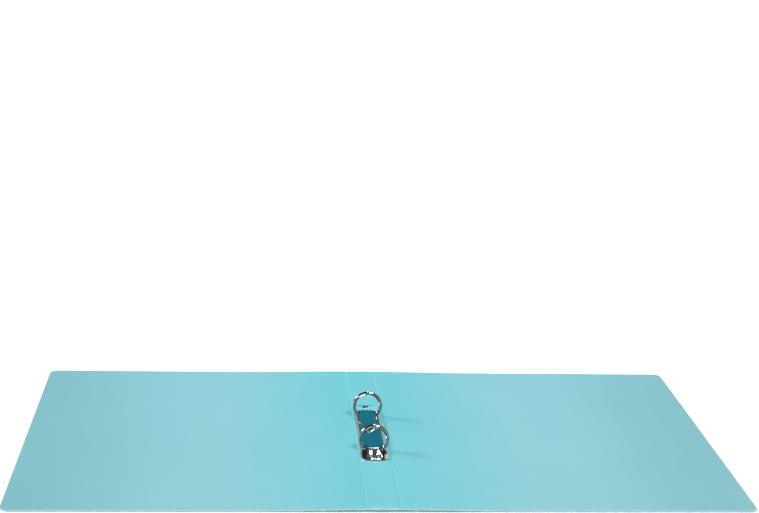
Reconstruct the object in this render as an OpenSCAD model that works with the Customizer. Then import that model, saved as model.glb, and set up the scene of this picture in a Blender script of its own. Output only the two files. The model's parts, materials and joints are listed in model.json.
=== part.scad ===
// A4 two-ring binder in turquoise polypropylene, lying open with its inside facing up.
// X runs across the open binder, Y along the spine, Z up.
// The origin is on the table, under the middle of the spine.

/* [Covers] */
// Height of the binder, measured along the spine
binder_height = 320; // [300:1:330]
// Width of one cover, from its crease to its outer edge
cover_width = 257.5; // [235:0.5:280]
// Thickness of the polypropylene sheet
sheet_thickness = 1; // [0.8:0.1:1.2]
// Radius of the outer corners of the covers
corner_radius = 6; // [3:0.5:15]
// Distance between the two creases, which is the width of the spine
spine_width = 24; // [24:0.5:30]
// Thickness of the living hinge in the crease
web_thickness = 0.3; // [0.2:0.05:0.4]

/* [Ring mechanism] */
// Distance between the centres of the two rings
ring_spacing = 80; // [80:1:82]
// Radius of the centre line of the ring wire
ring_radius = 10.8; // [10.5:0.1:11]
// Diameter of the ring wire
wire_diameter = 2.8; // [2.4:0.1:3]
// Length of the cover plate
plate_length = 128; // [128:1:140]
// Width of the cover plate
plate_width = 20.2; // [20:0.1:20.5]
// Height of the cover plate's crown above the spine
plate_height = 3.6; // [3.5:0.05:3.6]
// Height of the two low ends that the rivets hold
pad_height = 1.4; // [1.4:0.1:1.5]
// Thickness of the sheet steel in the plate
plate_thickness = 0.6; // [0.5:0.05:0.7]

/* [Rivets] */
// Distance between the two rivets
rivet_spacing = 118; // [117:1:119]
// Diameter of a rivet's head on the outside of the spine
head_diameter = 8.4; // [7:0.1:9]
// Height of a rivet's head
head_height = 1; // [0.8:0.1:1.4]

/* [Hidden] */
$fn = 64;

// Small distance by which a cutting shape runs past the solid that it cuts
eps = 0.01;
sheet_colour = [0.45, 0.78, 0.83];
web_colour = [0.62, 0.88, 0.9];
nickel_colour = [0.8, 0.8, 0.81];
steel_colour = [0.62, 0.63, 0.65];

// The spine is held off the table by its rivet heads
sheet_bottom = head_height;
spine_top = sheet_bottom + sheet_thickness;
hinge_x = spine_width / 2;
hinge_z = sheet_bottom + sheet_thickness / 2;
hinge_gap = 0.3;
spine_half = hinge_x - sheet_thickness / 2 - hinge_gap;
// Each cover falls from its crease to the table by this angle
cover_slope = asin(head_height / cover_width);

// Cover plate: an arched channel with turned-in lips, which slopes down to a pad at each end
plate_half = plate_width / 2;
crown_radius = 70;
shoulder_radius = 2.2;
end_radius = 1.2;
plan_radius = 4.5;
lip_width = 1.5;
lip_thickness = 0.5;
ramp_start = 43.5;
ramp_angle = 26;
ramp_radius = (plate_height - pad_height) / (2 - 2 * cos(ramp_angle));
ramp_half = ramp_radius * sin(ramp_angle);

// The blades turn in the plate's side walls, and the ring wires are staked into them
blade_thickness = 0.7;
blade_length = 86;
pivot_x = plate_half - 1.25;
pivot_z = spine_top + 1.45;
blade_reach = pivot_x - 0.25;
closed_slope = 5.5;
root_x = -1.5;
stake_radius = 0.8;
stake_head_radius = 1.1;
stake_head_height = 0.3;
stake_clearance = 0.05;

// Rings
ring_z = spine_top + 8.9;
wire_radius = wire_diameter / 2;
half_tip_gap = 0.05;
foot_angle = -56;
tip_angle = 90 - asin(half_tip_gap / ring_radius);
tongue_radius = 0.6;
tongue_length = 0.8;
socket_radius = 0.8;
socket_depth = 1.1;
notch_width = wire_diameter + 1;
notch_start = 4.9;

// Rivets
shank_radius = 2;
shank_clearance = 0.05;
rim_middle_radius = 2.1;
rim_radius = 0.75;
bore_radius = 1.35;
dimple_floor_radius = 3;
// Growth of the dimple's radius for each millimetre of height
dimple_flare = 0.45;

// ---- The polypropylene sheet: one sheet in the real binder, parted here at its creases ----

// Outline of a cover from its crease outwards, with its two outer corners rounded
module cover_outline() {
    half = binder_height / 2;
    translate([0, -half])
        square([cover_width - corner_radius, binder_height]);
    translate([0, corner_radius - half])
        square([cover_width, binder_height - 2 * corner_radius]);
    for (side = [-1, 1])
        translate([cover_width - corner_radius, side * (half - corner_radius)])
            circle(r = corner_radius);
}

// A cover with a round inner edge, whose axis is the axis that the cover turns about
module cover_panel() {
    color(sheet_colour)
    translate([hinge_x, 0, hinge_z])
    rotate([0, cover_slope, 0]) {
        translate([0, 0, -sheet_thickness / 2])
            linear_extrude(sheet_thickness)
                cover_outline();
        rotate([90, 0, 0])
            cylinder(r = sheet_thickness / 2, h = binder_height, center = true);
    }
}

module back_cover() {
    cover_panel();
}

module front_cover() {
    mirror([1, 0, 0])
        cover_panel();
}

// The strip between the creases, with a hole for each rivet
module spine() {
    color(sheet_colour)
    difference() {
        translate([-spine_half, -binder_height / 2, sheet_bottom])
            cube([2 * spine_half, binder_height, sheet_thickness]);
        for (side = [-1, 1])
            translate([0, side * rivet_spacing / 2, sheet_bottom - 1])
                cylinder(r = shank_radius + shank_clearance, h = sheet_thickness + 2);
    }
}

// The thin web that is left where the sheet is creased, and that bends when a cover turns
module hinge_web() {
    color(web_colour)
    translate([spine_half, -binder_height / 2, hinge_z - web_thickness / 2])
        cube([hinge_gap - 0.04, binder_height, web_thickness]);
}

module back_hinge_web() {
    hinge_web();
}

module front_hinge_web() {
    mirror([1, 0, 0])
        hinge_web();
}

// ---- Cover plate ----

// Arched section of the plate, drawn inset by a wall thickness, or by 0 for its outside
module arch_section(inset) {
    shoulder_x = plate_half - shoulder_radius;
    crown_drop = crown_radius - sqrt(pow(crown_radius, 2) - pow(shoulder_x, 2));
    shoulder_z = plate_height - crown_drop - shoulder_radius;
    floor_z = inset > 0 ? lip_thickness : 0;
    intersection() {
        translate([0, plate_height - crown_radius])
            circle(r = crown_radius - inset, $fn = 200);
        translate([-shoulder_x, floor_z])
            square([2 * shoulder_x, plate_height]);
    }
    for (side = [-1, 1])
        translate([side * shoulder_x, shoulder_z])
            circle(r = shoulder_radius - inset);
    translate([inset - plate_half, floor_z])
        square([plate_width - 2 * inset, shoulder_z - floor_z]);
}

// Side view of half the plate: the crown, an S-shaped ramp down to the pad, and a round end
module half_side_section(inset) {
    end = plate_length / 2 - inset;
    pad = pad_height - inset;
    radius = end_radius - inset;
    ramp_middle = ramp_start + ramp_half;
    ramp_end = ramp_middle + ramp_half;
    square([ramp_start, plate_height - inset]);
    intersection() {
        translate([ramp_start, plate_height - ramp_radius])
            circle(r = ramp_radius - inset, $fn = 200);
        translate([ramp_start - eps, 0])
            square([ramp_half + eps, plate_height]);
    }
    difference() {
        translate([ramp_middle - eps, 0])
            square([ramp_half + 2 * eps, pad + ramp_radius * (1 - cos(ramp_angle))]);
        translate([ramp_end, pad_height + ramp_radius])
            circle(r = ramp_radius + inset, $fn = 200);
    }
    translate([ramp_end, 0])
        square([end - radius - ramp_end, pad]);
    square([end, pad - radius]);
    translate([end - radius, pad - radius])
        circle(r = radius);
}

module side_section(inset) {
    half_side_section(inset);
    mirror([1, 0])
        half_side_section(inset);
}

// Plan of the plate, with rounded corners
module plan_section(inset) {
    half_x = plate_half - inset;
    half_y = plate_length / 2 - inset;
    radius = plan_radius - inset;
    square([2 * half_x, 2 * (half_y - radius)], center = true);
    square([2 * (half_x - radius), 2 * half_y], center = true);
    for (side_x = [-1, 1], side_y = [-1, 1])
        translate([side_x * (half_x - radius), side_y * (half_y - radius)])
            circle(r = radius);
}

// Solid bounded by the three outlines above
module plate_form(inset) {
    intersection() {
        rotate([90, 0, 0])
            linear_extrude(plate_length, center = true)
                arch_section(inset);
        rotate([90, 0, 90])
            linear_extrude(plate_width, center = true)
                side_section(inset);
        linear_extrude(plate_height)
            plan_section(inset);
    }
}

// Cone that is pressed down into a pad round its rivet
module dimple_cone(floor_z, wall) {
    radius = dimple_floor_radius + wall;
    translate([0, 0, floor_z])
        cylinder(r1 = radius, r2 = radius + dimple_flare * plate_height, h = plate_height);
}

// Notch for a ring wire, open through the side of the plate
module wire_notch() {
    for (side = [0, 1])
        mirror([side, 0, 0]) {
            translate([notch_start + notch_width / 2, -notch_width / 2, -1])
                cube([plate_width, notch_width, plate_height + 2]);
            translate([notch_start + notch_width / 2, 0, -1])
                cylinder(d = notch_width, h = plate_height + 2);
        }
}

module mechanism_plate() {
    color(nickel_colour)
    translate([0, 0, spine_top])
    difference() {
        union() {
            difference() {
                plate_form(0);
                plate_form(plate_thickness);
                translate([lip_width - plate_half, lip_width - plate_length / 2, -1])
                    cube([plate_width - 2 * lip_width, plate_length - 2 * lip_width, 2]);
            }
            intersection() {
                plate_form(0);
                for (side = [-1, 1])
                    translate([0, side * rivet_spacing / 2, 0])
                        dimple_cone(0, plate_thickness);
            }
        }
        for (side = [-1, 1])
            translate([0, side * rivet_spacing / 2, 0]) {
                dimple_cone(plate_thickness, 0);
                translate([0, 0, -1])
                    cylinder(r = shank_radius + shank_clearance, h = plate_height);
            }
        for (side = [-1, 1])
            translate([0, side * ring_spacing / 2, 0])
                wire_notch();
    }
}

// ---- Blades and ring halves ----

// Places a shape in the frame of the right blade, whose origin is on the blade's pivot line
module in_blade_frame() {
    translate([pivot_x, 0, pivot_z])
        rotate([0, -closed_slope, 0])
            children();
}

module blade() {
    color(steel_colour)
    in_blade_frame()
    difference() {
        union() {
            translate([-blade_reach, -blade_length / 2, -blade_thickness / 2])
                cube([blade_reach, blade_length, blade_thickness]);
            rotate([90, 0, 0])
                cylinder(d = blade_thickness, h = blade_length, center = true);
        }
        for (side = [-1, 1])
            translate([root_x, side * ring_spacing / 2, -blade_thickness])
                cylinder(r = stake_radius + stake_clearance, h = 2 * blade_thickness);
    }
}

module right_blade() {
    blade();
}

module left_blade() {
    mirror([1, 0, 0])
        blade();
}

// Arc of round wire in the XZ plane, from one angle to another, measured up from +X
module wire_arc(from, to) {
    translate([0, 0, ring_z])
        rotate([90, 0, 0])
            rotate([0, 0, from])
                rotate_extrude(angle = to - from, $fn = 96)
                    translate([ring_radius, 0])
                        circle(r = wire_radius, $fn = 48);
}

// Wire from its foot on the blade to the middle of the ring, and the stake that holds it
module ring_half(place_y) {
    translate([0, place_y, 0]) {
        difference() {
            wire_arc(foot_angle, tip_angle);
            in_blade_frame()
                translate([-12, -5, -12])
                    cube([20, 10, 12 + blade_thickness / 2]);
        }
        in_blade_frame()
            translate([root_x, 0, -blade_thickness / 2]) {
                cylinder(r = stake_radius, h = blade_thickness + 0.5);
                translate([0, 0, -stake_head_height])
                    cylinder(r = stake_head_radius, h = stake_head_height);
            }
    }
}

// A tongue on the tip of a right half enters a socket in the tip of the left half
module right_ring_half(place_y) {
    color(nickel_colour)
    union() {
        ring_half(place_y);
        translate([0.5, place_y, ring_z + ring_radius])
            rotate([0, -90, 0])
                cylinder(r = tongue_radius, h = tongue_length + 0.5);
    }
}

module left_ring_half(place_y) {
    color(nickel_colour)
    difference() {
        mirror([1, 0, 0])
            ring_half(place_y);
        translate([eps, place_y, ring_z + ring_radius])
            rotate([0, -90, 0])
                cylinder(r = socket_radius, h = socket_depth);
    }
}

module near_left_ring_half() {
    left_ring_half(-ring_spacing / 2);
}

module near_right_ring_half() {
    right_ring_half(-ring_spacing / 2);
}

module far_left_ring_half() {
    left_ring_half(ring_spacing / 2);
}

module far_right_ring_half() {
    right_ring_half(ring_spacing / 2);
}

// ---- Rivets ----

// Half section of a tubular rivet: domed head below, shank, and rolled rim above the plate
module rivet_section() {
    head_radius = head_diameter / 2;
    dome_radius = (pow(head_radius, 2) + pow(head_height, 2)) / (2 * head_height);
    seat_z = spine_top + plate_thickness;
    difference() {
        union() {
            intersection() {
                translate([0, dome_radius])
                    circle(r = dome_radius, $fn = 200);
                square([head_radius, head_height]);
            }
            square([shank_radius, seat_z + rim_radius]);
            intersection() {
                translate([rim_middle_radius, seat_z])
                    circle(r = rim_radius);
                translate([0, seat_z])
                    square(dimple_floor_radius);
            }
        }
        translate([-eps, sheet_bottom])
            square([bore_radius + eps, plate_height]);
    }
}

module rivet(place_y) {
    color(nickel_colour)
    translate([0, place_y, 0])
        rotate_extrude($fn = 96)
            rivet_section();
}

module near_rivet() {
    rivet(-rivet_spacing / 2);
}

module far_rivet() {
    rivet(rivet_spacing / 2);
}

front_cover();
back_cover();
spine();
front_hinge_web();
back_hinge_web();
mechanism_plate();
left_blade();
right_blade();
near_left_ring_half();
near_right_ring_half();
far_left_ring_half();
far_right_ring_half();
near_rivet();
far_rivet();
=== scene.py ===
"""A4 two-ring binder lying open: its sheet, materials, studio and camera, built around the CAD frame."""
import json
import math

import bmesh
import bpy
from mathutils import Matrix, Vector


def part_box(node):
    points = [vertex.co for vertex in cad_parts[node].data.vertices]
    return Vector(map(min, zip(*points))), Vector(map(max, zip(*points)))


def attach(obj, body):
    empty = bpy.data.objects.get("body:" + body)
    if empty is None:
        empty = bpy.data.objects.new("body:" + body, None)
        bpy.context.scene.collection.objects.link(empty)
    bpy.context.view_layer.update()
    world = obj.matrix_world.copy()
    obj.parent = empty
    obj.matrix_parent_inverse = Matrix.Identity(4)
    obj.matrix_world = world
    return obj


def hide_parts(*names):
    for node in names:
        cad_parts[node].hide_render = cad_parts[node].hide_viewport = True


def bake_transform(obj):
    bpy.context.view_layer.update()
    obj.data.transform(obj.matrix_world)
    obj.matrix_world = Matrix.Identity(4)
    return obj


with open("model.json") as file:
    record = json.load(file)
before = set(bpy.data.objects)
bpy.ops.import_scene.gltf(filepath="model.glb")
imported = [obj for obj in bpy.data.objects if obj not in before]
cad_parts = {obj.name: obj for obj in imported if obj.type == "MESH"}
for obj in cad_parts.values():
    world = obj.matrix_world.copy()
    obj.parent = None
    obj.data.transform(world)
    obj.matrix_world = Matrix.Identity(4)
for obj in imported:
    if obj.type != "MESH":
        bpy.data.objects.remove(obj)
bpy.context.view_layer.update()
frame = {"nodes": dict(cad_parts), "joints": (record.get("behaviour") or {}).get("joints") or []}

MM = 0.001
JOINTS = {joint["name"]: joint for joint in frame["joints"]}

# ---- Sizes of the sheet, taken from the frame ----
SPINE_LOW, SPINE_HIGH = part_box("spine")
COVER_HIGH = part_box("back_cover")[1]
HINGE_X = JOINTS["back_cover_hinge"]["pos_m"][0]
SHEET_BOTTOM, SHEET_TOP = SPINE_LOW.z, SPINE_HIGH.z
SHEET_HALF = (SHEET_TOP - SHEET_BOTTOM) / 2
SHEET_MIDDLE = (SHEET_TOP + SHEET_BOTTOM) / 2
HALF_HEIGHT = SPINE_HIGH.y
OUTER_X = COVER_HIGH.x
CORNER_RADIUS = 6 * MM

# The crease is a strip of sheet either side of the hinge line, pressed thin from both faces
CREASE_HALF = 1.1 * MM
GROOVE_DEPTH_INSIDE = 0.34 * MM
GROOVE_DEPTH_OUTSIDE = 0.24 * MM

# The cut edge of the sheet is rounded a little
EDGE_ROUND = 0.16 * MM
EDGE_STEPS = 3

# A hole in the spine clears its rivet's shank
RIVET_HOLE_RADIUS = 2.05 * MM

# Off the rivet heads, a cover comes down to the table over this distance, with a slight wave beyond
FALL_LENGTH = 85 * MM
WAVE_HEIGHT = 0.11 * MM
# Length scales and shifts of the wave: across the cover, along it, and a longer one along it
WAVE_ACROSS = 0.041
WAVE_ALONG = 0.057
WAVE_LONG = 0.083
SHIFT_ACROSS = 1.3
SHIFT_ALONG = 0.6
SHIFT_LONG = 2.0

# Largest distance between the points of a sheet's mesh, and of the spine's across it
SHEET_STEP = 7 * MM
SPINE_STEP = 3 * MM


def smooth(t):
    t = min(max(t, 0.0), 1.0)
    return t * t * (3 - 2 * t)


def spaced(start, end, step):
    """Evenly spaced values from start to end, no further apart than step."""
    count = max(1, math.ceil(abs(end - start) / step))
    return [start + (end - start) * i / count for i in range(count + 1)]


# ---- Mesh building ----

def finished_object(name, bm, materials, sharp_angle=math.radians(40)):
    """An object of the mesh, with faces turned outwards and smooth shading that stops at sharp edges."""
    bmesh.ops.recalc_face_normals(bm, faces=bm.faces)
    for face in bm.faces:
        face.smooth = True
    for edge in bm.edges:
        if len(edge.link_faces) == 2 and edge.calc_face_angle() > sharp_angle:
            edge.smooth = False
    mesh = bpy.data.meshes.new(name)
    bm.to_mesh(mesh)
    bm.free()
    for material in materials:
        mesh.materials.append(material)
    made = bpy.data.objects.new(name, mesh)
    bpy.context.scene.collection.objects.link(made)
    return made


def edge_profile():
    """(inset, side, drop) from the inside face round the cut edge to the outside face."""
    quarter = []
    for step in range(EDGE_STEPS + 1):
        angle = math.pi / 2 * step / EDGE_STEPS
        quarter.append((EDGE_ROUND * (1 - math.sin(angle)), EDGE_ROUND * (1 - math.cos(angle))))
    inside = [(inset, 1, drop) for inset, drop in quarter]
    outside = [(inset, -1, drop) for inset, drop in reversed(quarter)]
    return inside + outside


def slab(name, columns, rows, place, cut_side, materials):
    """A thin closed slab over a grid of columns by rows.

    place(column, row, inset, side, drop) gives a point: side is 1 on the inside face and -1 on the outside,
    inset draws the cut edges in, and drop takes the point from its face towards the middle.
    The first and last row are cut edges, and so is the last column if cut_side is true.
    """
    bm = bmesh.new()
    profile = edge_profile()
    last_column, last_row = columns - 1, rows - 1

    def grid(inset, side, drop):
        return [[bm.verts.new(place(i, j, inset, side, drop)) for j in range(rows)] for i in range(columns)]

    inside = grid(*profile[0])
    outside = grid(*profile[-1])
    for i in range(last_column):
        for j in range(last_row):
            for face in (inside, outside):
                bm.faces.new((face[i][j], face[i + 1][j], face[i + 1][j + 1], face[i][j + 1]))

    near_edge = [(i, 0) for i in range(columns)]
    far_edge = [(i, last_row) for i in reversed(range(columns))]
    if cut_side:
        outer_edge = [(last_column, j) for j in range(1, last_row)]
        paths = [near_edge + outer_edge + far_edge]
    else:
        paths = [near_edge, far_edge]
    rims = {}
    for path in paths:
        loops = [[inside[i][j] for i, j in path]]
        for inset, side, drop in profile[1:-1]:
            loops.append([bm.verts.new(place(i, j, inset, side, drop)) for i, j in path])
        loops.append([outside[i][j] for i, j in path])
        for upper, lower in zip(loops, loops[1:]):
            for k in range(len(path) - 1):
                face = bm.faces.new((upper[k], upper[k + 1], lower[k + 1], lower[k]))
                face.material_index = 1
        rims[path[0]] = [loop[0] for loop in loops]
        rims[path[-1]] = [loop[-1] for loop in loops]

    joined_columns = [0] if cut_side else [0, last_column]
    for i in joined_columns:
        for j in range(last_row):
            bm.faces.new((inside[i][j], inside[i][j + 1], outside[i][j + 1], outside[i][j]))
        for j in (0, last_row):
            bm.faces.new(rims[(i, j)])
    return finished_object(name, bm, materials)


def cover_sheet(name, side_x, materials):
    """One cover, from its crease to its rounded outer corners. side_x is 1 on the right, -1 on the left."""
    start_x = HINGE_X + CREASE_HALF
    straight = HALF_HEIGHT - CORNER_RADIUS
    corner_angles = spaced(0, math.pi / 2, math.pi / 2 / 8)
    middle_rows = spaced(-1, 1, SHEET_STEP / straight)
    row_kinds = [(-1, angle) for angle in reversed(corner_angles[1:])]
    row_kinds += [(0, share) for share in middle_rows]
    row_kinds += [(1, angle) for angle in corner_angles[1:]]
    shares = spaced(0, 1, SHEET_STEP / (OUTER_X - start_x))

    def place(i, j, inset, side, drop):
        end, value = row_kinds[j]
        radius = CORNER_RADIUS - inset
        reach = OUTER_X - inset - start_x
        if end:
            y = end * (straight + radius * math.sin(value))
            reach += radius * (math.cos(value) - 1)
        else:
            y = straight * value
        u = shares[i] * reach
        fall = (SHEET_BOTTOM - WAVE_HEIGHT) * smooth(u / FALL_LENGTH)
        wave = math.sin(u / WAVE_ACROSS + SHIFT_ACROSS) * math.sin(y / WAVE_ALONG + SHIFT_ALONG * side_x)
        wave += math.sin(y / WAVE_LONG + SHIFT_LONG)
        z = SHEET_MIDDLE - fall + 0.5 * WAVE_HEIGHT * wave * smooth(u / FALL_LENGTH)
        z += side * (SHEET_HALF - drop)
        return Vector((side_x * (start_x + u), y, z))

    return slab(name, len(shares), len(row_kinds), place, True, materials)


def flat_rows():
    """Rows along the spine, from end to end."""
    return spaced(-1, 1, SHEET_STEP / HALF_HEIGHT)


def crease_strip(name, side_x, materials):
    """The living hinge: a groove pressed into both faces along the hinge line."""
    offsets = spaced(-1, 1, 0.1)
    rows = flat_rows()

    def depth(offset):
        return (1 - offset * offset) ** 2

    def place(i, j, inset, side, drop):
        y = rows[j] * (HALF_HEIGHT - inset)
        groove = GROOVE_DEPTH_INSIDE if side > 0 else GROOVE_DEPTH_OUTSIDE
        z = SHEET_MIDDLE + side * (SHEET_HALF - drop - groove * depth(offsets[i]))
        return Vector((side_x * (HINGE_X + CREASE_HALF * offsets[i]), y, z))

    strip = slab(name, len(offsets), len(rows), place, False, materials)
    attribute = strip.data.attributes.new("groove", "FLOAT", "POINT")
    for index, vertex in enumerate(strip.data.vertices):
        attribute.data[index].value = depth((abs(vertex.co.x) - HINGE_X) / CREASE_HALF)
    return strip


def spine_sheet(name, materials):
    """The strip between the creases, with its two rivet holes."""
    half = HINGE_X - CREASE_HALF
    columns = spaced(-half, half, SPINE_STEP)
    rows = flat_rows()

    def place(i, j, inset, side, drop):
        y = rows[j] * (HALF_HEIGHT - inset)
        return Vector((columns[i], y, SHEET_MIDDLE + side * (SHEET_HALF - drop)))

    sheet = slab(name, len(columns), len(rows), place, False, materials)
    bm = bmesh.new()
    for rivet in ("near_rivet", "far_rivet"):
        low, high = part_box(rivet)
        centre = (low + high) / 2
        where = Matrix.Translation((centre.x, centre.y, SHEET_MIDDLE))
        bmesh.ops.create_cone(bm, cap_ends=True, segments=48, radius1=RIVET_HOLE_RADIUS,
                              radius2=RIVET_HOLE_RADIUS, depth=4 * SHEET_HALF, matrix=where)
    cutter = finished_object(name + "_cutter", bm, materials)
    cut = sheet.modifiers.new("rivet_holes", "BOOLEAN")
    cut.operation = "DIFFERENCE"
    cut.solver = "EXACT"
    cut.object = cutter
    apply_modifiers(sheet)
    bpy.data.objects.remove(cutter)
    return sheet


def apply_modifiers(piece):
    """Bakes the piece's modifiers into its mesh."""
    evaluated = piece.evaluated_get(bpy.context.evaluated_depsgraph_get())
    mesh = bpy.data.meshes.new_from_object(evaluated)
    piece.modifiers.clear()
    piece.data = mesh


# ---- Materials ----

class Nodes:
    """Short calls for making a material's node tree."""

    def __init__(self, name):
        self.material = bpy.data.materials.new(name)
        self.material.use_nodes = True
        self.tree = self.material.node_tree
        self.shader = self.tree.nodes["Principled BSDF"]
        self.output = self.tree.nodes["Material Output"]
        self.place = self.add("ShaderNodeTexCoord").outputs["Object"]

    def add(self, kind, **settings):
        node = self.tree.nodes.new(kind)
        for key, value in settings.items():
            setattr(node, key, value)
        return node

    def link(self, source, target):
        self.tree.links.new(source, target)

    def noise(self, scale, detail=3.0, roughness=0.5, stretch=None):
        node = self.add("ShaderNodeTexNoise")
        node.inputs["Scale"].default_value = scale
        node.inputs["Detail"].default_value = detail
        node.inputs["Roughness"].default_value = roughness
        if stretch:
            mapping = self.add("ShaderNodeMapping")
            mapping.inputs["Scale"].default_value = stretch
            self.link(self.place, mapping.inputs["Vector"])
            self.link(mapping.outputs["Vector"], node.inputs["Vector"])
        else:
            self.link(self.place, node.inputs["Vector"])
        return node.outputs["Fac"]

    def spread(self, value, low, high, to_low, to_high):
        node = self.add("ShaderNodeMapRange")
        for key, number in (("From Min", low), ("From Max", high), ("To Min", to_low), ("To Max", to_high)):
            node.inputs[key].default_value = number
        self.link(value, node.inputs["Value"])
        return node.outputs["Result"]

    def mix(self, factor, first, second):
        node = self.add("ShaderNodeMix", data_type="RGBA")
        self.link(factor, node.inputs["Factor"])
        for socket, colour in ((node.inputs["A"], first), (node.inputs["B"], second)):
            if isinstance(colour, tuple):
                socket.default_value = (*colour, 1)
            else:
                self.link(colour, socket)
        return node.outputs["Result"]

    def split(self, vector):
        node = self.add("ShaderNodeSeparateXYZ")
        self.link(vector, node.inputs[0])
        return node.outputs

    def math(self, operation, first, second=None):
        node = self.add("ShaderNodeMath", operation=operation)
        self.link(first, node.inputs[0])
        if isinstance(second, (int, float)):
            node.inputs[1].default_value = second
        elif second:
            self.link(second, node.inputs[1])
        return node.outputs[0]

    def bump(self, height, strength, distance, normal=None):
        node = self.add("ShaderNodeBump")
        node.inputs["Strength"].default_value = strength
        node.inputs["Distance"].default_value = distance
        self.link(height, node.inputs["Height"])
        if normal:
            self.link(normal, node.inputs["Normal"])
        return node.outputs["Normal"]

    def set(self, **values):
        for key, value in values.items():
            self.shader.inputs[key.replace("_", " ")].default_value = value


# The sheet's colour near the spine, in the middle of a cover and at its outer edge: the paler, redder middle
# is a painted sheen, and the darker outer edge is painted shade
SHEET_COLOUR = (0.128, 0.464, 0.514)
SHEET_COLOUR_PAINTED_SHEEN = (0.206, 0.467, 0.516)
SHEET_COLOUR_PAINTED_SHADE = (0.176, 0.407, 0.449)
SHEET_COLOUR_LIGHT = (0.32, 0.62, 0.68)
# Distances from the middle of the spine between which one colour passes into the next: the painted sheen
# comes in over the first, the painted shade over the second
PAINTED_SHEEN_REACH = (20 * MM, 110 * MM)
PAINTED_SHADE_REACH = (160 * MM, 250 * MM)
# The crease groove is coloured lighter than the sheet: a painted highlight
CREASE_HIGHLIGHT_COLOUR = (0.165, 0.505, 0.56)
# Both edge colours are partly the cut's own pale tone and partly painted light, lifted for the dimly lit
# front face
EDGE_COLOUR = (0.49, 0.65, 0.64)
EDGE_COLOUR_DARK = (0.34, 0.56, 0.57)


def sheet_surface(nodes, crease_highlight_colour=None):
    """Matt polypropylene: a paler painted sheen over the middle of each cover and painted shade at its outer
    edge, a painted highlight in the crease groove when one is given, slow changes of colour, a fine pressed
    grain and faint handling marks.
    """
    reach = nodes.math("ABSOLUTE", nodes.split(nodes.place)["X"])
    # Painted light: each cover turns paler and redder towards its middle as a painted sheen, and darker
    # towards its outer edge as painted shade
    colour = nodes.mix(nodes.spread(reach, *PAINTED_SHEEN_REACH, 0, 1), SHEET_COLOUR, SHEET_COLOUR_PAINTED_SHEEN)
    colour = nodes.mix(nodes.spread(reach, *PAINTED_SHADE_REACH, 0, 1), colour, SHEET_COLOUR_PAINTED_SHADE)
    clouds = nodes.spread(nodes.noise(9.0, detail=4.0, roughness=0.55), 0.35, 0.65, 0, 0.06)
    colour = nodes.mix(clouds, colour, SHEET_COLOUR_LIGHT)
    if crease_highlight_colour:
        # Painted highlight: the colour turns lighter along the crease groove
        groove = nodes.add("ShaderNodeAttribute", attribute_name="groove").outputs["Fac"]
        colour = nodes.mix(nodes.spread(groove, 0.05, 0.75, 0, 1), colour, crease_highlight_colour)
    nodes.link(colour, nodes.shader.inputs["Base Color"])
    grain = nodes.noise(2600.0, detail=2.0, roughness=0.6)
    sweep = nodes.noise(70.0, detail=3.0, stretch=(1.0, 0.08, 1.0))
    rough = nodes.add("ShaderNodeMath", operation="ADD")
    nodes.link(nodes.spread(grain, 0.3, 0.7, 0.33, 0.43), rough.inputs[0])
    nodes.link(nodes.spread(sweep, 0.3, 0.7, -0.02, 0.03), rough.inputs[1])
    nodes.link(rough.outputs[0], nodes.shader.inputs["Roughness"])
    broad = nodes.bump(nodes.noise(14.0, detail=2.0), 0.35, 0.0006)
    fine = nodes.bump(grain, 0.22, 0.00006, broad)
    nodes.link(fine, nodes.shader.inputs["Normal"])
    nodes.set(IOR=1.5)
    nodes.set(Specular_IOR_Level=0.55)


def sheet_material():
    nodes = Nodes("polypropylene_sheet")
    sheet_surface(nodes)
    return nodes.material


def crease_material():
    nodes = Nodes("polypropylene_crease")
    sheet_surface(nodes, CREASE_HIGHLIGHT_COLOUR)
    return nodes.material


def edge_material():
    """The cut edge of the sheet: paler, partly its own tone and partly painted light, with fine marks across
    it from the die.
    """
    nodes = Nodes("polypropylene_cut_edge")
    marks = nodes.noise(900.0, detail=2.0, stretch=(1.0, 1.0, 0.15))
    # Partly painted light: the edge colours are lifted above the cut's own tone
    colour = nodes.mix(nodes.spread(marks, 0.3, 0.7, 0, 1), EDGE_COLOUR, EDGE_COLOUR_DARK)
    nodes.link(colour, nodes.shader.inputs["Base Color"])
    nodes.link(nodes.spread(marks, 0.3, 0.7, 0.45, 0.65), nodes.shader.inputs["Roughness"])
    nodes.link(nodes.bump(marks, 0.3, 0.00005), nodes.shader.inputs["Normal"])
    return nodes.material


# How the plate's shading normals lean. The mesh stays as the CAD has it: only the shine shows an arch
# across both low ends, a droop towards their tips, and rolled shoulders. Droop and lean are slopes.
ARCH_RADIUS = 70 * MM
ARCHED_FROM = 44.5 * MM
DROOP_FROM = 50 * MM
DROOP_TO = 62 * MM
DROOP_FIRST = 0.35
DROOP_LAST = 0.10
SHOULDER_FROM = 5.5 * MM
SHOULDER_TO = 9.5 * MM
SHOULDER_LEAN = 0.45


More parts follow.
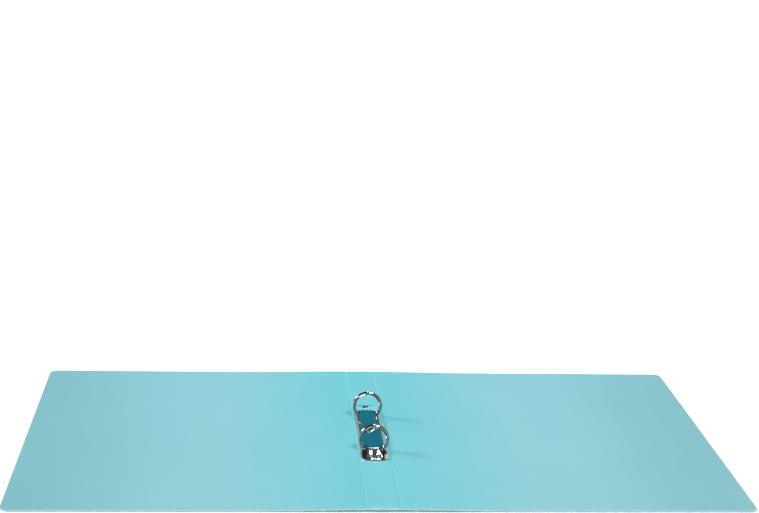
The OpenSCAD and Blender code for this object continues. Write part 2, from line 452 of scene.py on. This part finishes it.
def plate_form(nodes):
    """Shading normals for the plate: rolled shoulders, and low ends that look arched and drooping."""
    place = nodes.split(nodes.place)
    normal = nodes.add("ShaderNodeNewGeometry").outputs["Normal"]
    rise = nodes.split(normal)["Z"]
    top = nodes.spread(rise, 0.7, 0.8, 0, 1)
    across = nodes.math("ABSOLUTE", place["X"])
    along = nodes.math("ABSOLUTE", place["Y"])
    low_end = nodes.math("MULTIPLY", top, nodes.spread(along, ARCHED_FROM, ARCHED_FROM + 0.5 * MM, 0, 1))
    level = nodes.math("MULTIPLY", low_end, nodes.spread(rise, 0.93, 0.99, 0, 1))
    arch = nodes.math("MULTIPLY", nodes.math("MULTIPLY", place["X"], 1 / ARCH_RADIUS), low_end)
    roll = nodes.spread(across, SHOULDER_FROM, SHOULDER_TO, 0, SHOULDER_LEAN)
    roll = nodes.math("MULTIPLY", nodes.math("MULTIPLY", roll, nodes.math("SIGN", place["X"])), top)
    droop = nodes.spread(along, DROOP_FROM, DROOP_TO, DROOP_FIRST, DROOP_LAST)
    droop = nodes.math("MULTIPLY", nodes.math("MULTIPLY", droop, nodes.math("SIGN", place["Y"])), level)
    lean = nodes.add("ShaderNodeCombineXYZ")
    nodes.link(nodes.math("ADD", arch, roll), lean.inputs["X"])
    nodes.link(droop, lean.inputs["Y"])
    total = nodes.add("ShaderNodeVectorMath", operation="ADD")
    nodes.link(normal, total.inputs[0])
    nodes.link(lean.outputs[0], total.inputs[1])
    unit = nodes.add("ShaderNodeVectorMath", operation="NORMALIZE")
    nodes.link(total.outputs[0], unit.inputs[0])
    return unit.outputs[0]


# Colours of each metal: clean and dull
PLATE_COLOURS = ((0.72, 0.71, 0.69), (0.62, 0.61, 0.59))
WIRE_COLOURS = ((0.42, 0.46, 0.47), (0.34, 0.38, 0.39))
RIVET_COLOURS = ((0.70, 0.69, 0.67), (0.60, 0.59, 0.57))
BLADE_COLOURS = ((0.50, 0.50, 0.51), (0.38, 0.38, 0.39))
# Roughness of each metal: lowest and highest
BRIGHT_ROUGHNESS = (0.03, 0.06)
RIVET_ROUGHNESS = (0.05, 0.10)
BLADE_ROUGHNESS = (0.25, 0.40)
# Stretch of the scratches
LONG_SCRATCHES = (1.0, 0.05, 1.0)
SHORT_SCRATCHES = (1.0, 0.3, 1.0)
ROUND_MARKS = (1.0, 1.0, 1.0)


def plated_material(name, colours, roughness, scratch_stretch, form=None):
    """Bright plating: small changes of tint, faint wiping scratches, and a slight ripple from pressing."""
    nodes = Nodes(name)
    patches = nodes.noise(160.0, detail=5.0, roughness=0.6)
    tint = nodes.mix(nodes.spread(patches, 0.35, 0.75, 0, 1), *colours)
    nodes.link(tint, nodes.shader.inputs["Base Color"])
    scratches = nodes.noise(1500.0, detail=2.0, roughness=0.7, stretch=scratch_stretch)
    total = nodes.add("ShaderNodeMath", operation="ADD")
    nodes.link(nodes.spread(patches, 0.3, 0.8, *roughness), total.inputs[0])
    nodes.link(nodes.spread(scratches, 0.55, 0.8, 0.0, 0.03), total.inputs[1])
    nodes.link(total.outputs[0], nodes.shader.inputs["Roughness"])
    base_normal = form(nodes) if form else None
    ripple = nodes.bump(nodes.noise(220.0, detail=1.0), 0.12, 0.00004, base_normal)
    nodes.link(nodes.bump(scratches, 0.06, 0.00001, ripple), nodes.shader.inputs["Normal"])
    nodes.set(Metallic=1.0)
    return nodes.material


def floor_material():
    nodes = Nodes("studio_floor")
    mottle = nodes.noise(3.0, detail=3.0)
    colour = nodes.mix(mottle, (0.90, 0.90, 0.90), (0.93, 0.93, 0.93))
    nodes.link(colour, nodes.shader.inputs["Base Color"])
    nodes.set(Roughness=0.85)
    return nodes.material


def paint(node, *materials):
    """Gives a CAD node its materials."""
    slots = frame["nodes"][node].data.materials
    slots.clear()
    for material in materials:
        slots.append(material)


# ---- Studio ----

CAMERA_HEADING = math.radians(4.35)
CAMERA_PITCH = math.radians(13.79)
CAMERA_ROLL = math.radians(1.71)
CAMERA_PLACE = Vector((-0.0959, -1.3024, 0.467))
CAMERA_LENS = 82.2
FLOOR_DROP = 0.1 * MM


def make_camera():
    data = bpy.data.cameras.new("camera")
    data.lens = CAMERA_LENS
    data.sensor_width = 36
    data.clip_start = 0.05
    data.clip_end = 100
    camera = bpy.data.objects.new("camera", data)
    heading = Matrix.Rotation(-CAMERA_HEADING, 4, "Z")
    pitch = Matrix.Rotation(math.pi / 2 - CAMERA_PITCH, 4, "X")
    roll = Matrix.Rotation(CAMERA_ROLL, 4, "Z")
    camera.matrix_world = Matrix.Translation(CAMERA_PLACE) @ heading @ pitch @ roll
    bpy.context.scene.collection.objects.link(camera)
    bpy.context.scene.camera = camera


def softbox(name, place, target, width, height, power):
    """A rectangular area light that faces its target."""
    data = bpy.data.lights.new(name, "AREA")
    data.shape = "RECTANGLE"
    data.size = width
    data.size_y = height
    data.energy = power
    light = bpy.data.objects.new(name, data)
    light.location = place
    light.rotation_euler = (Vector(target) - Vector(place)).to_track_quat("-Z", "Y").to_euler()
    light.visible_camera = False
    bpy.context.scene.collection.objects.link(light)
    return light


def direction(heading, elevation):
    """Unit vector towards a place in the studio: heading is measured from +Y towards +X, both in degrees."""
    heading, elevation = math.radians(heading), math.radians(elevation)
    flat = math.cos(elevation)
    return Vector((flat * math.sin(heading), flat * math.cos(heading), math.sin(elevation)))


# Round cards in the studio, later ones over earlier ones: (heading, elevation, radius, soft edge, colour).
# The last two are turquoise, for what the plate mirrors.
STUDIO_CARDS = (
    (180, 22, 26, 10, (0.28, 0.28, 0.28)),
    (-112, 22, 22, 10, (0.30, 0.30, 0.30)),
    (112, 22, 22, 10, (0.30, 0.30, 0.30)),
    (-56, 24, 16, 8, (0.22, 0.26, 0.27)),
    (40, 16, 20, 6, (0.75, 0.75, 0.75)),
    (4, -4, 14, 3, (0.28, 0.86, 0.95)),
    (4, 20, 14, 3, (0.02, 0.22, 0.33)),
)
STUDIO_HORIZON = (0.13, 0.14, 0.15)
STUDIO_OVERHEAD = (0.035, 0.03, 0.027)
BACKDROP_COLOUR = (0.98, 0.98, 0.98)


def make_world():
    """A dim studio with grey, white and turquoise cards that the metal mirrors.

    The camera itself sees a plain white backdrop.
    """
    world = bpy.data.worlds.new("studio")
    world.use_nodes = True
    tree = world.node_tree
    background = tree.nodes["Background"]

    def add(kind, **settings):
        node = tree.nodes.new(kind)
        for key, value in settings.items():
            setattr(node, key, value)
        return node

    def spread(value, low, high):
        node = add("ShaderNodeMapRange", interpolation_type="SMOOTHSTEP")
        node.inputs["From Min"].default_value = low
        node.inputs["From Max"].default_value = high
        tree.links.new(value, node.inputs["Value"])
        return node.outputs["Result"]

    def mix(factor, under, over):
        node = add("ShaderNodeMix", data_type="RGBA")
        tree.links.new(factor, node.inputs["Factor"])
        for socket, colour in ((node.inputs["A"], under), (node.inputs["B"], over)):
            if isinstance(colour, tuple):
                socket.default_value = (*colour, 1)
            else:
                tree.links.new(colour, socket)
        return node.outputs["Result"]

    ray = add("ShaderNodeTexCoord").outputs["Generated"]
    parts = add("ShaderNodeSeparateXYZ")
    tree.links.new(ray, parts.inputs["Vector"])
    colour = mix(spread(parts.outputs["Z"], 0.1, 0.55), STUDIO_HORIZON, STUDIO_OVERHEAD)
    for heading, elevation, radius, soft, card_colour in STUDIO_CARDS:
        facing = add("ShaderNodeVectorMath", operation="DOT_PRODUCT")
        tree.links.new(ray, facing.inputs[0])
        facing.inputs[1].default_value = direction(heading, elevation)
        edge, core = math.cos(math.radians(radius + soft)), math.cos(math.radians(radius - soft))
        colour = mix(spread(facing.outputs["Value"], edge, core), colour, card_colour)
    seen = add("ShaderNodeLightPath").outputs["Is Camera Ray"]
    tree.links.new(mix(seen, colour, BACKDROP_COLOUR), background.inputs["Color"])
    bpy.context.scene.world = world


def sun(name, heading, elevation, spread, strength):
    """A distant round lamp that looks spread degrees across."""
    data = bpy.data.lights.new(name, "SUN")
    data.angle = math.radians(spread)
    data.energy = strength
    light = bpy.data.objects.new(name, data)
    light.rotation_euler = direction(heading, elevation).to_track_quat("Z", "Y").to_euler()
    bpy.context.scene.collection.objects.link(light)


# Two long lamps on the ceiling, which the plate's low end mirrors as two white bars
STRIP_HEIGHT = 1.73
STRIP_REACH = 1.3
STRIP_MIDDLE_X = 0.14
STRIP_OFFSET = 0.08
STRIP_WIDTH = 0.06
STRIP_LENGTH = 1.8
STRIP_TURN = math.radians(3)
STRIP_POWER = 7
# Each main lamp: heading, elevation, apparent size in degrees, strength
LEFT_LAMP = (-70, 27, 16, 2.9)
RIGHT_LAMP = (145, 53, 18, 2.6)
FLOOR_RADIUS = 30


def make_floor():
    bm = bmesh.new()
    bmesh.ops.create_circle(bm, cap_ends=True, segments=96, radius=FLOOR_RADIUS)
    bmesh.ops.translate(bm, verts=bm.verts, vec=(0, 0, -FLOOR_DROP))
    floor = finished_object("floor", bm, [floor_material()])


def make_studio():
    make_camera()
    make_world()
    make_floor()
    sun("left_lamp", *LEFT_LAMP)
    sun("right_lamp", *RIGHT_LAMP)
    for side_x in (-1, 1):
        place = (STRIP_MIDDLE_X + side_x * STRIP_OFFSET, STRIP_REACH, STRIP_HEIGHT)
        below = (place[0], place[1], 0)
        strip = softbox("ceiling_strip", place, below, STRIP_WIDTH, STRIP_LENGTH, STRIP_POWER)
        strip.rotation_euler.rotate_axis("Z", side_x * STRIP_TURN)
    bpy.context.scene.view_settings.view_transform = "Standard"


# ---- The binder ----

def make_sheet():
    surface, edge, crease = sheet_material(), edge_material(), crease_material()
    for side_x, cover in ((-1, "front_cover"), (1, "back_cover")):
        piece = cover_sheet(cover + "_sheet", side_x, [surface, edge])
        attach(piece, cover + "_body")
        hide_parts(cover)
        strip = crease_strip(cover + "_crease", side_x, [crease, edge])
        web = cover.replace("cover", "hinge_web")
        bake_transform(strip)
        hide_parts(web)
    spine = spine_sheet("spine_sheet", [surface, edge])
    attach(spine, "spine_body")
    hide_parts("spine")


def paint_metal():
    plate = plated_material("nickel_plate", PLATE_COLOURS, BRIGHT_ROUGHNESS, LONG_SCRATCHES, plate_form)
    wire = plated_material("nickel_wire", WIRE_COLOURS, BRIGHT_ROUGHNESS, SHORT_SCRATCHES)
    rivet = plated_material("nickel_rivet", RIVET_COLOURS, RIVET_ROUGHNESS, ROUND_MARKS)
    blade = plated_material("blade_steel", BLADE_COLOURS, BLADE_ROUGHNESS, LONG_SCRATCHES)
    paint("mechanism_plate", plate)
    for place in ("near", "far"):
        paint(place + "_rivet", rivet)
        for side in ("left", "right"):
            paint(f"{place}_{side}_ring_half", wire)
    for side in ("left", "right"):
        paint(side + "_blade", blade)


make_studio()
make_sheet()
paint_metal()
